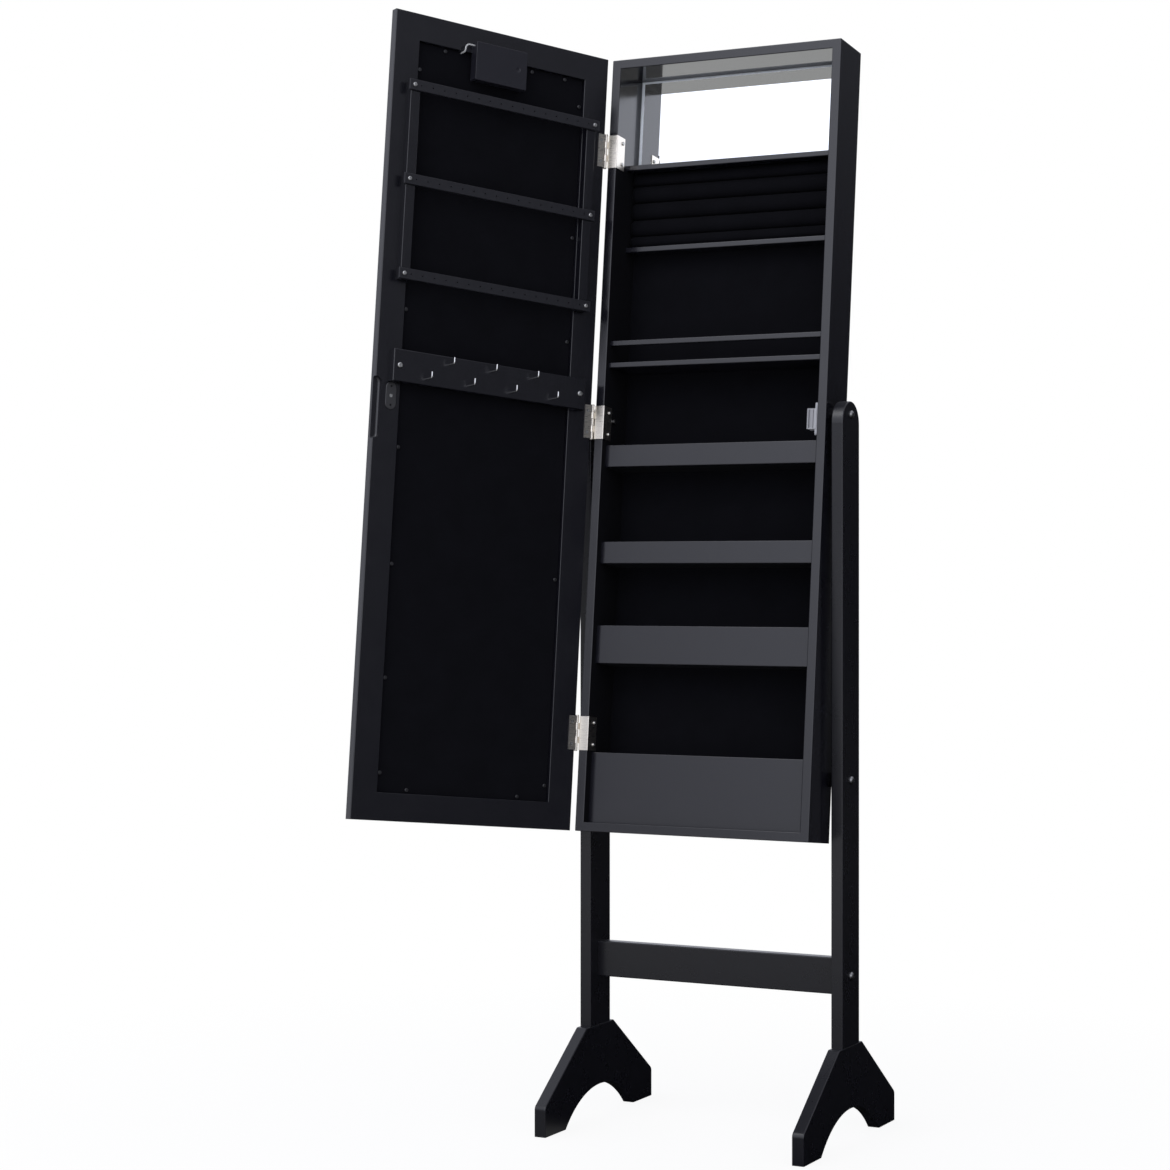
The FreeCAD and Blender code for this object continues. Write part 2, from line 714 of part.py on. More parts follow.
def backing_screw_spots():
    """Screws round the backing's edge, unevenly spaced, as shares of its height and width."""
    inset = 4.5
    left = STILE + inset
    right = CABINET_WIDTH - STILE - inset
    top = CABINET_UP - RAIL - inset
    bottom = RAIL + inset - CABINET_DOWN
    tall = top - bottom
    wide = right - left
    spots = [(right, bottom + tall * part) for part in (0.967, 0.639, 0.453, 0.297, 0.146, 0.021)]
    spots += [(left, bottom + tall * part) for part in (0.966, 0.779, 0.632, 0.300, 0.017)]
    spots += [(left + wide * part, top) for part in (0.852, 0.311, 0.100)]
    spots += [(left + wide * part, bottom) for part in (0.838, 0.168)]
    return spots


def door_edge_rounding(board):
    """Rounds the door's outer edges, back and front, where this board carries them."""
    faces = (DOOR_FACE, DOOR_FACE - DOOR_THICK)

    def on_rim(edge):
        spot = middle(edge)
        on_face = near(spot.y, faces[0]) or near(spot.y, faces[1])
        at_side = near(abs(spot.x), HALF)
        at_end = near(spot.z, CABINET_UP) or near(spot.z, -CABINET_DOWN)
        return on_face and (at_side or at_end)

    return round_edges(board, EDGE_ROUND, on_rim)


def door_stile(u0, u1, ledge_u0, ledge_u1):
    z0 = RAIL - CABINET_DOWN
    z1 = CABINET_UP - RAIL
    board = door_block(u0, u1, 0, DOOR_THICK, -CABINET_DOWN, CABINET_UP)
    board = door_edge_rounding(board)
    ledge = door_block(ledge_u0, ledge_u1, DOOR_THICK - LEDGE_THICK, DOOR_THICK, z0, z1)
    board = board.fuse(ledge).removeSplitter()
    inner = u1 if u0 < 1 else u0
    into = -1 if u0 < 1 else 1
    board = board.cut(corner_cut(
        door_point(inner, 0, z0), Vector(into, 0, 0), Vector(0, -1, 0), 0.8, Vector(0, 0, z1 - z0)))
    for u, z in backing_screw_spots():
        board = board.cut(door_rod(SCREW_R + FIT, u, RECESS, DOOR_THICK - 0.8, z))
    return board


def hinge_stile():
    board = door_stile(0, STILE, STILE, STILE + LEDGE)
    for z in HINGE_Z:
        for height in (z - HINGE_SCREW_Z, z + HINGE_SCREW_Z):
            board = board.cut(door_rod(SCREW_R + FIT, HINGE_SCREW_U, -1, 8.1, height))
    return board.cut(door_rod(BIG_SCREW_R + FIT, RAIL_END + RAIL_SCREW, -1, 8.1, rail_middle()))


def pull_stile():
    width = CABINET_WIDTH
    board = door_stile(width - STILE, width, width - STILE - LEDGE, width - STILE)
    pocket = door_block(width - PULL_WIDE, width + 20, -20, PULL_DEEP, *PULL_Z)
    inner = width - PULL_WIDE - HALF
    pocket = round_edges(pocket, PULL_ROUND, lambda edge: (
        runs_along(edge, Vector(0, 1, 0)) and near(middle(edge).x, inner)))
    floor = DOOR_FACE - PULL_DEEP
    pocket = round_edges(pocket, PULL_COVE, lambda edge: (
        near(middle(edge).y, floor) and middle(edge).x < HALF + 15))
    board = board.cut(pocket)
    board = board.cut(door_rod(SCREW_R + FIT, CATCH_U, -1, 8.1, STRIKE_Z))
    far = CABINET_WIDTH - RAIL_END - RAIL_SCREW
    return board.cut(door_rod(BIG_SCREW_R + FIT, far, -1, 8.1, rail_middle()))


def door_rail(z0, z1, ledge_z0, ledge_z1):
    width = CABINET_WIDTH
    board = door_block(STILE, width - STILE, 0, DOOR_THICK, z0, z1)
    board = door_edge_rounding(board)
    ledge = door_block(STILE + LEDGE, width - STILE - LEDGE, DOOR_THICK - LEDGE_THICK, DOOR_THICK,
                       ledge_z0, ledge_z1)
    board = board.fuse(ledge).removeSplitter()
    inner = z0 if z0 > 0 else z1
    into = 1 if z0 > 0 else -1
    board = board.cut(corner_cut(
        door_point(STILE, 0, inner), Vector(0, 0, into), Vector(0, -1, 0), 0.8,
        Vector(width - 2 * STILE, 0, 0)))
    for u, z in backing_screw_spots():
        board = board.cut(door_rod(SCREW_R + FIT, u, RECESS, DOOR_THICK - 0.8, z))
    return board


def top_rail():
    inner = CABINET_UP - RAIL
    board = door_rail(inner, CABINET_UP, inner - LEDGE, inner)
    u = lead_drop_u()
    groove = door_block(u - LEAD_R - 0.3, u + LEAD_R + 0.3, DOOR_THICK - LEDGE_THICK - 1,
                        DOOR_THICK - 0.8, inner - LEDGE - 1, lead_entry_z() + LEAD_R + 0.3)
    return board.cut(groove)


def bottom_rail():
    inner = RAIL - CABINET_DOWN
    return door_rail(-CABINET_DOWN, inner, inner, inner + LEDGE)


def backing_panel():
    gap = PANE_GAP
    z0 = RAIL - CABINET_DOWN + gap
    z1 = CABINET_UP - RAIL - gap
    panel = door_block(STILE + gap, CABINET_WIDTH - STILE - gap, RECESS, RECESS + BACKING, z0, z1)
    for u, z in backing_screw_spots():
        panel = panel.cut(door_rod(SCREW_R + FIT, u, RECESS - 1, RECESS + BACKING + 1, z))
    return panel.cut(door_rod(LEAD_R + 0.3, lead_drop_u(), RECESS - 1, RECESS + BACKING + 1, lead_entry_z()))


def backing_screws():
    solids = []
    for u, z in backing_screw_spots():
        length = DOOR_THICK - 1.0 - RECESS
        solids.append(pan_screw(door_point(u, RECESS, z), Vector(0, 1, 0), length,
                                SCREW_R, SCREW_HEAD_R, SCREW_HEAD))
    return Part.makeCompound(solids)


def pane_top():
    return CABINET_UP - RAIL - LEDGE - PANE_GAP - LIGHT_TALL


def door_mirror():
    edge = STILE + LEDGE + PANE_GAP
    z0 = RAIL + LEDGE + PANE_GAP - CABINET_DOWN
    pane = door_block(edge, CABINET_WIDTH - edge, DOOR_THICK - LEDGE_THICK, DOOR_THICK,
                      z0, pane_top() - PANE_GAP)
    face = DOOR_FACE - DOOR_THICK
    return pane.makeChamfer(1.5, [e for e in pane.Edges if near(middle(e).y, face)])


def light_strip():
    edge = STILE + LEDGE + PANE_GAP
    return door_block(edge, CABINET_WIDTH - edge, DOOR_THICK - LEDGE_THICK, DOOR_THICK,
                      pane_top(), pane_top() + LIGHT_TALL)


def batten(u0):
    z0 = BAR_Z[-1] - BAR_TALL / 2 - 0.5
    z1 = BAR_Z[0] + BAR_TALL / 2
    board = door_block(u0, u0 + BATTEN_WIDE, -BATTEN_THICK, 0, z0, z1)
    board = round_edges(board, 0.8, lambda edge: (
        near(middle(edge).y, DOOR_FACE + BATTEN_THICK) or
        (runs_along(edge, Vector(0, 1, 0)))))
    for z in BAR_Z:
        for u in bar_screw_us():
            board = board.cut(door_rod(SCREW_R + 0.1 + FIT, u, -BATTEN_THICK - 1, -2.9, z))
    return board


def bar_screw_us():
    return (BAR_END + BAR_SCREW, CABINET_WIDTH - BAR_END - BAR_SCREW)


def earring_bar(z):
    near_w = -BATTEN_THICK
    far_w = near_w - BAR_THICK
    bar = door_block(BAR_END, CABINET_WIDTH - BAR_END, far_w, near_w, z - BAR_TALL / 2, z + BAR_TALL / 2)
    bar = round_edges(bar, 0.8, lambda edge: near(middle(edge).y, DOOR_FACE - far_w))
    first = CABINET_WIDTH / 2 - BAR_HOLE_PITCH * (BAR_HOLES - 1) / 2
    for index in range(BAR_HOLES):
        u = first + index * BAR_HOLE_PITCH
        bar = bar.cut(door_rod(BAR_HOLE_R, u, far_w - 1, near_w + 1, z))
    for u in bar_screw_us():
        bar = bar.cut(door_rod(SCREW_R + 0.1 + FIT, u, far_w - 1, near_w + 1, z))
    return bar


def rail_middle():
    return RAIL_BOTTOM + RAIL_TALL / 2


def hook_spots():
    spots = []
    for index in range(HOOKS):
        u = CABINET_WIDTH / 2 + 0.5 + (index - (HOOKS - 1) / 2) * HOOK_PITCH
        z = LOW_HOOK_Z if index % 2 == 0 else HIGH_HOOK_Z
        spots.append((u, z))
    return spots


def necklace_rail():
    rail = door_block(RAIL_END, CABINET_WIDTH - RAIL_END, -RAIL_THICK, 0,
                      RAIL_BOTTOM, RAIL_BOTTOM + RAIL_TALL)
    rail = round_edges(rail, EDGE_ROUND, lambda edge: near(middle(edge).y, DOOR_FACE + RAIL_THICK))
    for u, z in hook_spots():
        rail = rail.cut(door_rod(HOOK_R + FIT, u, -RAIL_THICK - 1, HOOK_SET - RAIL_THICK, z))
    for u in (RAIL_END + RAIL_SCREW, CABINET_WIDTH - RAIL_END - RAIL_SCREW):
        rail = rail.cut(door_rod(BIG_SCREW_R + FIT, u, -RAIL_THICK - 1, 1, rail_middle()))
    return rail


def necklace_hook(u, z):
    """A square-bent wire hook: straight out of the rail, then up to a blunt tip."""
    inner = HOOK_SET - RAIL_THICK
    out = -RAIL_THICK - HOOK_REACH
    bend = HOOK_BEND
    start = door_point(u, inner, z)
    turn = door_point(u, out + bend, z)
    mid = door_point(u, out + bend * (1 - math.sin(math.pi / 4)), z + bend * (1 - math.cos(math.pi / 4)))
    rise = door_point(u, out, z + bend)
    tip = door_point(u, out, z + HOOK_TIP)
    path = Part.Wire([
        Part.LineSegment(start, turn).toShape(),
        Part.Arc(turn, mid, rise).toShape(),
        Part.LineSegment(rise, tip).toShape(),
    ])
    ring = Part.Wire(Part.makeCircle(HOOK_R, start, Vector(0, 1, 0)))
    wire = path.makePipeShell([ring], True, False)
    return round_edges(wire, HOOK_R * 0.6, lambda edge: near(middle(edge).z, z + HOOK_TIP))


def necklace_hooks():
    return Part.makeCompound([necklace_hook(u, z) for u, z in hook_spots()])


def rack_screws():
    """The screws that hold the earring bars to the battens and the necklace rail to the door."""
    solids = []
    face = -BATTEN_THICK - BAR_THICK
    for z in BAR_Z:
        for u in bar_screw_us():
            solids.append(pan_screw(door_point(u, face, z), Vector(0, 1, 0), BAR_THICK + 7,
                                    SCREW_R + 0.1, SCREW_HEAD_R + 0.2, SCREW_HEAD))
    for u in (RAIL_END + RAIL_SCREW, CABINET_WIDTH - RAIL_END - RAIL_SCREW):
        base = door_point(u, -RAIL_THICK, rail_middle())
        solids.append(pan_screw(base, Vector(0, 1, 0), RAIL_THICK + 8, BIG_SCREW_R, BIG_HEAD_R, BIG_HEAD))
    return Part.makeCompound(solids)


def strike_plate():
    half = STRIKE_TALL / 2
    plate = door_block(CATCH_U - STRIKE_WIDE / 2, CATCH_U + STRIKE_WIDE / 2, -STRIKE_THICK, 0,
                       STRIKE_Z - half, STRIKE_Z + half)
    plate = round_edges(plate, STRIKE_WIDE / 2 - 0.01, lambda edge: runs_along(edge, Vector(0, 1, 0)))
    plate = round_edges(plate, 0.4, lambda edge: near(middle(edge).y, DOOR_FACE + STRIKE_THICK))
    for offset, radius in ((0, SCREW_R + FIT), (STRIKE_HOLE, 1.5), (-STRIKE_HOLE, 1.5)):
        plate = plate.cut(door_rod(radius, CATCH_U, -STRIKE_THICK - 1, 1, STRIKE_Z + offset))
    top = door_point(CATCH_U, -STRIKE_THICK, STRIKE_Z)
    sink = Part.makeCone(SCREW_HEAD_R * 0.9 + FIT, SCREW_R + FIT, LEAF, top, Vector(0, -1, 0))
    return plate.cut(sink)


def strike_screw():
    return flat_screw(door_point(CATCH_U, -STRIKE_THICK, STRIKE_Z), Vector(0, 1, 0), 8)


def battery_case():
    """A tray with its floor on the door. One end wall is low, so the cover's runners pass."""
    u1 = BOX_U + BOX_WIDE
    z1 = BOX_Z + BOX_TALL
    rim = BOX_WALL + BOX_INSIDE
    case = door_block(BOX_U, u1, -rim, 0, BOX_Z, z1)
    case = round_edges(case, 1.5, lambda edge: runs_along(edge, Vector(0, 1, 0)))
    hollow = door_block(BOX_U + BOX_WALL, u1 - BOX_WALL, -rim - 1, -BOX_WALL,
                        BOX_Z + BOX_WALL, z1 - BOX_WALL)
    case = case.cut(hollow)
    pass_z = BOX_WALL + 0.1
    low_wall = door_block(BOX_U - 1, BOX_U + BOX_WALL + 0.5, -rim - 1, -rim + RUNNER + 0.3,
                          BOX_Z + pass_z, z1 - pass_z)
    case = case.cut(low_wall)
    u0, cell_end = cell_span()
    web = door_block(u0 - CONTACT - BOX_WALL, u0 - CONTACT, -rim + RUNNER + 0.3, -BOX_WALL,
                     BOX_Z + BOX_WALL, z1 - BOX_WALL)
    case = case.fuse(web).removeSplitter()
    return case.cut(rod(LEAD_R + 0.2, door_point(u1 - 5, lead_w(), lead_z()),
                        door_point(u1 + 1, lead_w(), lead_z())))


def cell_span():
    end = BOX_U + BOX_WIDE - BOX_WALL - CONTACT
    return end - CELL_LONG - 0.2, end


def battery_cells():
    u0, end = cell_span()
    w = -BOX_WALL - CELL_R - 0.05
    centre = BOX_Z + BOX_TALL / 2
    solids = []
    for index in range(4):
        z = centre + (index - 1.5) * CELL_PITCH
        cell = rod(CELL_R, door_point(u0 + 0.1, w, z), door_point(u0 + CELL_LONG - 1.0, w, z))
        nub = rod(1.9, door_point(u0 + CELL_LONG - 1.2, w, z), door_point(u0 + CELL_LONG, w, z))
        solids.append(cell.fuse(nub).removeSplitter())
    return Part.makeCompound(solids)


def battery_contacts():
    u0, end = cell_span()
    z0 = BOX_Z + BOX_WALL + 0.5
    z1 = BOX_Z + BOX_TALL - BOX_WALL - 0.5
    solids = []
    for u in (u0 - CONTACT, end):
        solids.append(door_block(u, u + CONTACT, -BOX_WALL - 9, -BOX_WALL, z0, z1 - 7))
    return Part.makeCompound(solids)


def battery_cover():
    u1 = BOX_U + BOX_WIDE
    z1 = BOX_Z + BOX_TALL
    rim = BOX_WALL + BOX_INSIDE
    cover = door_block(BOX_U, u1, -rim - COVER, -rim, BOX_Z, z1)
    face = DOOR_FACE + rim + COVER
    cover = round_edges(cover, 1.5, lambda edge: runs_along(edge, Vector(0, 1, 0)))
    cover = round_edges(cover, 0.5, lambda edge: near(middle(edge).y, face))
    inset = BOX_WALL + 0.2
    for z in (BOX_Z + inset, z1 - inset - RUNNER):
        runner = door_block(BOX_U + 3, u1 - BOX_WALL - 0.3, -rim, -rim + RUNNER, z, z + RUNNER)
        cover = cover.fuse(runner)
    dimple = Part.makeSphere(10, door_point(BOX_U + 13, -rim - COVER - 9.4, BOX_Z + BOX_TALL / 2))
    return cover.cut(dimple).removeSplitter()


def lead_w():
    return -BOX_DEEP / 2


def lead_z():
    return BOX_Z + BOX_TALL - 4.5


def lead_drop_u():
    return BOX_U + BOX_WIDE + LEAD_OUT + LEAD_BEND


def lead_entry_z():
    return lead_z() - LEAD_BEND - LEAD_TURN


def quarter(start, centre, end):
    reach = (start - centre).Length
    mid = centre + ((start - centre) + (end - centre)).normalize() * reach
    return Part.Arc(start, mid, end).toShape()


def light_lead():
    """From the battery box, over and down, under the top rail and through the backing."""
    u = lead_drop_u()
    w = lead_w()
    z = lead_z()
    begin = door_point(BOX_U + BOX_WIDE - BOX_WALL, w, z)
    one = door_point(u - LEAD_BEND, w, z)
    two = door_point(u, w, z - LEAD_BEND)
    three = door_point(u, w + LEAD_TURN, lead_entry_z())
    deep = DOOR_THICK - LEDGE_THICK + 1.6
    four = door_point(u, deep - LEAD_INNER_TURN, lead_entry_z())
    five = door_point(u, deep, lead_entry_z() - LEAD_INNER_TURN)
    end = door_point(u, deep, pane_top() + LIGHT_TALL)
    path = Part.Wire([
        Part.LineSegment(begin, one).toShape(),
        quarter(one, door_point(u - LEAD_BEND, w, z - LEAD_BEND), two),
        quarter(two, door_point(u, w + LEAD_TURN, z - LEAD_BEND), three),
        Part.LineSegment(three, four).toShape(),
        quarter(four, door_point(u, deep - LEAD_INNER_TURN, lead_entry_z() - LEAD_INNER_TURN), five),
        Part.LineSegment(five, end).toShape(),
    ])
    ring = Part.Wire(Part.makeCircle(LEAD_R, begin, Vector(1, 0, 0)))
    return path.makePipeShell([ring], True, False)


def lean(shape):
    """Carries a shape from the cabinet's own upright frame to its place on the pivots."""
    moved = shape.copy()
    moved.rotate(Vector(0, 0, 0), Vector(1, 0, 0), -LEAN_DEG)
    moved.translate(Vector(0, 0, PIVOT_HEIGHT))
    return moved


def swing(shape):
    """Opens a shape of the closed door about the hinge pins, then leans it."""
    moved = shape.copy()
    moved.rotate(Vector(PIN_X, PIN_Y, 0), Vector(0, 0, 1), -OPEN_DEG)
    return lean(moved)


def stand_nodes():
    return {
        "post_left": post(-1),
        "post_right": post(1),
        "foot_left": foot(-1),
        "foot_right": foot(1),
        "stretcher": stretcher(),
        "foot_bolts": foot_bolts(),
        "stretcher_bolts": Part.makeCompound(side_bolts(stretcher_middle(), STAND_BOARD + 34)),
        "stop_bolts": Part.makeCompound(side_bolts(STOP_HEIGHT, STAND_BOARD + BUMPER_LONG - 3)),
        "stop_bumpers": stop_bumpers(),
        "pivot_spacers": pivot_spacers(),
    }


def cabinet_nodes():
    return {
        "pivot_bolts": pivot_bolts(),
        "pivot_inserts": pivot_inserts(),
        "side_left": cabinet_side(-1),
        "side_right": cabinet_side(1),
        "top_panel": cabinet_end(CEILING, CEILING),
        "bottom_panel": cabinet_end(-CABINET_DOWN, FLOOR),
        "back_panel": back_panel(),
        "inner_mirror": inner_mirror(),
        "mirror_shelf": shelf(MIRROR_SHELF_Z, MIRROR_SHELF_RECESS),
        "ring_pad": ring_pad(),
        "ring_board": shelf(RING_BOARD_Z, RING_BOARD_RECESS),
        "guard_rail": guard_rail(),
        "bottle_shelf": shelf(BOTTLE_SHELF_Z, BOTTLE_SHELF_RECESS),
        "upper_tray_shelf": tray_shelf(UPPER_TRAY_Z),
        "upper_tray_front": front_board(UPPER_TRAY_Z, SHALLOW_FRONT, TRAY_RECESS),
        "middle_tray_shelf": tray_shelf(MIDDLE_TRAY_Z),
        "middle_tray_front": front_board(MIDDLE_TRAY_Z, SHALLOW_FRONT, TRAY_RECESS),
        "lower_tray_shelf": tray_shelf(LOWER_TRAY_Z),
        "lower_tray_front": front_board(LOWER_TRAY_Z, DEEP_FRONT, TRAY_RECESS),
        "bin_front": front_board(FLOOR, BIN_FRONT, BIN_RECESS),
        "catch_body": catch_body(),
        "catch_magnet": catch_magnet(),
        "hinge_cabinet_leaves": Part.makeCompound([cabinet_leaf(z) for z in HINGE_Z]),
        "cabinet_screws": cabinet_screws(),
        "hinge_pins": Part.makeCompound([hinge_pin(z) for z in HINGE_Z]),
    }


def door_nodes():
    return {
        "hinge_door_leaves": Part.makeCompound([door_leaf(z) for z in HINGE_Z]),
        "hinge_door_screws": hinge_door_screws(),
        "hinge_stile": hinge_stile(),
        "pull_stile": pull_stile(),
        "top_rail": top_rail(),
        "bottom_rail": bottom_rail(),
        "backing_panel": backing_panel(),
        "backing_screws": backing_screws(),
        "door_mirror": door_mirror(),
        "light_strip": light_strip(),
        "batten_hinge_side": batten(BAR_END + BATTEN_IN),
        "batten_pull_side": batten(CABINET_WIDTH - BAR_END - BATTEN_IN - BATTEN_WIDE),
        "earring_bar_upper": earring_bar(BAR_Z[0]),
        "earring_bar_middle": earring_bar(BAR_Z[1]),
        "earring_bar_lower": earring_bar(BAR_Z[2]),
        "necklace_rail": necklace_rail(),
        "necklace_hooks": necklace_hooks(),
        "rack_screws": rack_screws(),
        "strike_plate": strike_plate(),
        "strike_screw": strike_screw(),
        "battery_case": battery_case(),
        "battery_cells": battery_cells(),
        "battery_contacts": battery_contacts(),
        "battery_cover": battery_cover(),
        "light_lead": light_lead(),
    }


def whole_box(shapes):
    box = FreeCAD.BoundBox()
    for shape in shapes:
        box.add(shape.optimalBoundingBox(False))
    return box


def build():
    """All nodes in place, with the origin on the floor below the middle of the whole."""
    nodes = dict(stand_nodes())
    for name, shape in cabinet_nodes().items():
        nodes[name] = lean(shape)
    for name, shape in door_nodes().items():
        nodes[name] = swing(shape)
    box = whole_box(nodes.values())
    shift = Vector(-box.Center.x, -box.Center.y, -box.ZMin)
    for shape in nodes.values():
        shape.translate(shift)
    return nodes, shift


def main():
    os.makedirs("parts", exist_ok=True)
    nodes, shift = build()
    for name, shape in nodes.items():
        shape.exportStep("parts/" + name + ".step")


main()
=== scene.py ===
import bpy, bmesh
import math
from mathutils import Matrix, Vector, noise


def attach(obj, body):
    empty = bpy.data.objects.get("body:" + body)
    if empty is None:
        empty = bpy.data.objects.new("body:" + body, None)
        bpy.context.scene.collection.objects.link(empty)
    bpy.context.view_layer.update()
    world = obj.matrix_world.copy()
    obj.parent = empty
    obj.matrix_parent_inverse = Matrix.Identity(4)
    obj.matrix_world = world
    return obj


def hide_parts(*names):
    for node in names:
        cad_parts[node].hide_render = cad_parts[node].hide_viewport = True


# Standing jewelry cabinet: satin black board, black velvet inside, bright small metalwork.
# Metres throughout. The cabinet's own upright frame has its origin on the pivot axis,
# X to the right, Y to the back and Z up the leaning panels.

PIVOT = Vector((0.072836, 0.109598, 0.919))
LEAN = math.radians(6.2692)

# The cabinet's inside, in its upright frame
INSIDE = 0.1505
FRONT = -0.029
BACK_MIDDLE = 0.0393
CEILING = 0.470
CEILING_FACE = (0.4697, 0.4715)
LINED = (-0.5282, 0.342)
INNER_FACE = INSIDE + 0.0002
INNER_START = FRONT + 0.0012
RIM_SIDE = INSIDE - 0.0058
RIM_TOP = CEILING - 0.0040

# Ring pad, in the cabinet's upright frame
PAD_LOW = 0.2375
PAD_HIGH = 0.3385
PAD_REAR = 0.0375
PAD_FRONT = 0.018
PAD_HALF = 0.150
ROLLS = 5
ROLL_PITCH = 0.0230
HALF_SLOT = 0.00015
ROLL_ROUND = 0.46
ROUND_STEPS = 8
LENGTH_CUTS = 90
END_LENGTH = 0.006
END_DRAW = 0.005
END_THINNING = 0.12
RIPPLE_DEPTH = 0.0009
RIPPLES = (55, 40)
RIPPLE_STEP = 3.7
NEAR = 0.0001

# Finishes, and the stretch of a noise that runs no particular way
FLOCK = {"Roughness": 0.95, "Specular IOR Level": 0.08, "Sheen Weight": 0.012,
         "Sheen Roughness": 0.35}
POLISH = {"Roughness": 0.10, "IOR": 2.2}
EVEN = (1, 1, 1)

# Studio: where its light comes from, the cosines between which it rises, and how strong it is
STUDIO_TINT = (0.94, 0.965, 1.08)
STUDIO_BASE = 0.015
STUDIO_LIGHT = (
    ((0.06, -0.88, 0.46), 0.70, 0.97, 1.35),
    ((-0.465, -0.885, 0.0), -0.1, 0.8, 0.16),
    ((0.97, -0.22, -0.05), 0.80, 1.0, 0.07),
    ((0, 0, 1), 0.0, 1.0, 0.8),
    ((0.82, -0.55, 0.20), 0.87, 1.0, 0.75),
    ((-0.45, 0.80, 0.40), 0.76, 1.0, 0.8),
    ((-0.95, -0.10, 0.25), 0.75, 1.0, 0.6),
)
FLOOR_RADIUS = 9.0
# The floor's painted reflection, a glow seen only in a gloss: the way it is brightest, the cosines
# between which it rises, and how strong it is
FLOOR_PAINTED_REFLECTION = ((-0.5, -0.87, 0), -0.3, 0.7, 0.95)
FLOOR_PAINTED_REFLECTION_BASE = 0.03

SENSOR = 36.0
LENS = 81.28
CAMERA_AT = Vector((1.47494, -3.01930, 0.71839))
CAMERA_YAW = 0.4834
SHIFT = (0.02736, -0.00981)
CLIP = (0.05, 60.0)


def upright_to_row():
    """From the cabinet's own upright frame to its leaning place on the pivots."""
    return Matrix.Translation(PIVOT) @ Matrix.Rotation(-LEAN, 4, "X")


# Nodes

def start_material(name):
    material = bpy.data.materials.new(name)
    material.use_nodes = True
    return material, material.node_tree, material.node_tree.nodes["Principled BSDF"]


def set_sockets(shader, values):
    for socket, value in values.items():
        shader.inputs[socket].default_value = value


def second_finish(tree, colour, values):
    """A further finish, for a part of the piece."""
    shader = tree.nodes.new("ShaderNodeBsdfPrincipled")
    shader.inputs["Base Color"].default_value = (*colour, 1)
    set_sockets(shader, values)
    return shader


def object_noise(tree, scale, detail=2.0, roughness=0.5, stretch=None):
    """Noise over the piece's own coordinates, stretched where stretch gives three factors."""
    coordinates = tree.nodes.new("ShaderNodeTexCoord")
    source = coordinates.outputs["Object"]
    if stretch:
        mapping = tree.nodes.new("ShaderNodeMapping")
        mapping.inputs["Scale"].default_value = stretch
        tree.links.new(source, mapping.inputs["Vector"])
        source = mapping.outputs["Vector"]
    texture = tree.nodes.new("ShaderNodeTexNoise")
    set_sockets(texture, {"Scale": scale, "Detail": detail, "Roughness": roughness})
    tree.links.new(source, texture.inputs["Vector"])
    return texture.outputs["Fac"]


def remap(tree, value, low, high, start=0.3, end=0.7):
    """Goes from low to high as the value goes from start to end."""
    node = tree.nodes.new("ShaderNodeMapRange")
    set_sockets(node, {"From Min": start, "From Max": end, "To Min": low, "To Max": high})
    tree.links.new(value, node.inputs["Value"])
    return node.outputs["Result"]


def blend_colours(tree, factor, first, second):
    node = tree.nodes.new("ShaderNodeMix")
    node.data_type = "RGBA"
    node.inputs["A"].default_value = (*first, 1)
    node.inputs["B"].default_value = (*second, 1)
    tree.links.new(factor, node.inputs["Factor"])
    return node.outputs["Result"]


def blend_shaders(tree, factor, first, second):
    node = tree.nodes.new("ShaderNodeMixShader")
    tree.links.new(factor, node.inputs["Fac"])
    tree.links.new(first.outputs[0], node.inputs[1])
    tree.links.new(second.outputs[0], node.inputs[2])
    return node


def set_surface(tree, shader):
    tree.links.new(shader.outputs[0], tree.nodes["Material Output"].inputs["Surface"])


def add_bump(tree, shader, height, strength, distance, below=None):
    node = tree.nodes.new("ShaderNodeBump")
    set_sockets(node, {"Strength": strength, "Distance": distance})
    tree.links.new(height, node.inputs["Height"])
    if below:
        tree.links.new(below.outputs["Normal"], node.inputs["Normal"])
    tree.links.new(node.outputs["Normal"], shader.inputs["Normal"])
    return node


def join_values(tree, operation, first, second=0.0):
    """A sum or comparison. Each value is a plain number or comes from another node."""
    node = tree.nodes.new("ShaderNodeMath")
    node.operation = operation
    for value, entry in zip((first, second), node.inputs):
        if isinstance(value, (int, float)):
            entry.default_value = value
        else:
            tree.links.new(value, entry)
    return node.outputs["Value"]


def between(tree, value, low, high):
    above = join_values(tree, "GREATER_THAN", value, low)
    return join_values(tree, "MULTIPLY", above, join_values(tree, "LESS_THAN", value, high))


def towards(tree, vector, direction, start, end, level):
    """Rises from 0 to level as the vector turns to the direction, smoothly from start to end."""
    dot = tree.nodes.new("ShaderNodeVectorMath")
    dot.operation = "DOT_PRODUCT"
    tree.links.new(vector, dot.inputs[0])
    dot.inputs[1].default_value = Vector(direction).normalized()
    rise = remap(tree, dot.outputs["Value"], 0.0, level, start, end)
    rise.node.interpolation_type = "SMOOTHSTEP"
    return rise


def upright_parts(tree):
    """The place in the cabinet's upright frame, as its distance across, its depth and height."""
    coordinates = tree.nodes.new("ShaderNodeTexCoord")
    upright = tree.nodes.new("ShaderNodeMapping")
    upright.vector_type = "TEXTURE"
    set_sockets(upright, {"Location": PIVOT, "Rotation": (-LEAN, 0, 0)})
    tree.links.new(coordinates.outputs["Object"], upright.inputs["Vector"])
    apart = tree.nodes.new("ShaderNodeSeparateXYZ")
    tree.links.new(upright.outputs["Vector"], apart.inputs["Vector"])
    across = join_values(tree, "ABSOLUTE", apart.outputs["X"])
    return across, apart.outputs["Y"], apart.outputs["Z"]


# Materials

